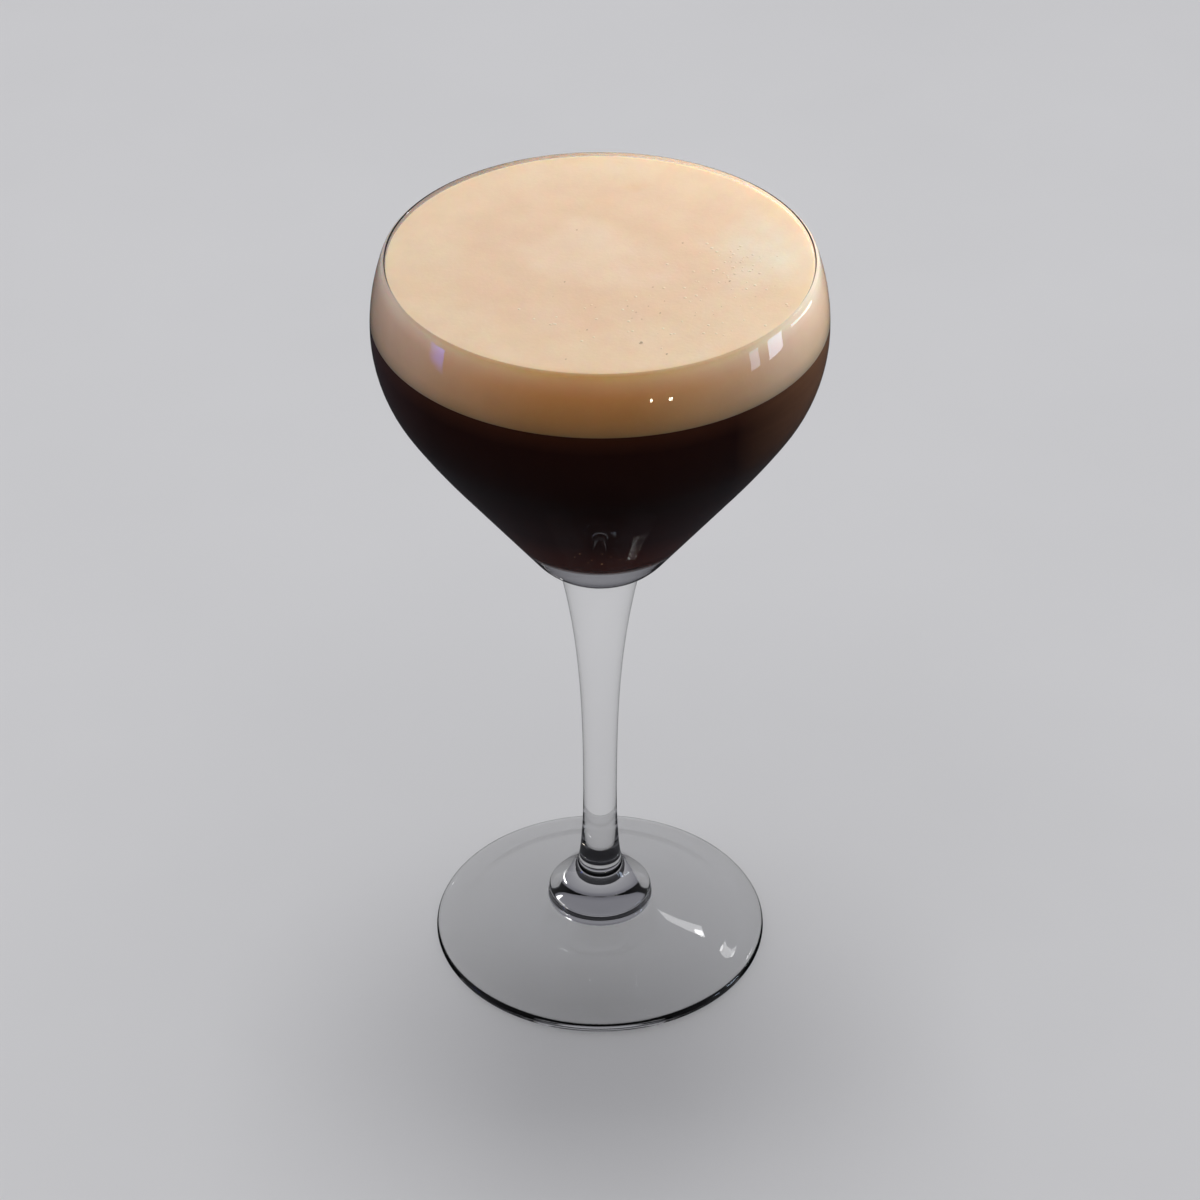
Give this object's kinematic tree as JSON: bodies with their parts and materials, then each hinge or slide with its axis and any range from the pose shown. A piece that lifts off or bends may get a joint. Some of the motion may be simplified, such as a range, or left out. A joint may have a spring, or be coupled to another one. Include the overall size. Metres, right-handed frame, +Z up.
{
  "type": "coffee cocktail in a stemmed glass",
  "caption": "Dark coffee cocktail with a thick, smooth cream foam, filled to the rim of a clear, round-shouldered conical glass on a slim stem and a round foot.",
  "frame": {"origin": "middle of the foot's underside, on the surface that the glass stands on", "axes": "+Z up along the stem; the object is turned about Z, and the picture looks along +Y and down"},
  "size_m": [0.0852, 0.0852, 0.16],
  "materials": {
    "clear_glass": "clear, polished, colourless",
    "dark_coffee": "near-black coffee, red-brown where it is thin",
    "cream_foam": "fine, smooth, matte cream foam"
  },
  "bodies": {
    "root": {"glass": "clear_glass", "coffee": "dark_coffee", "foam": "cream_foam"}
  },
  "joints": []
}
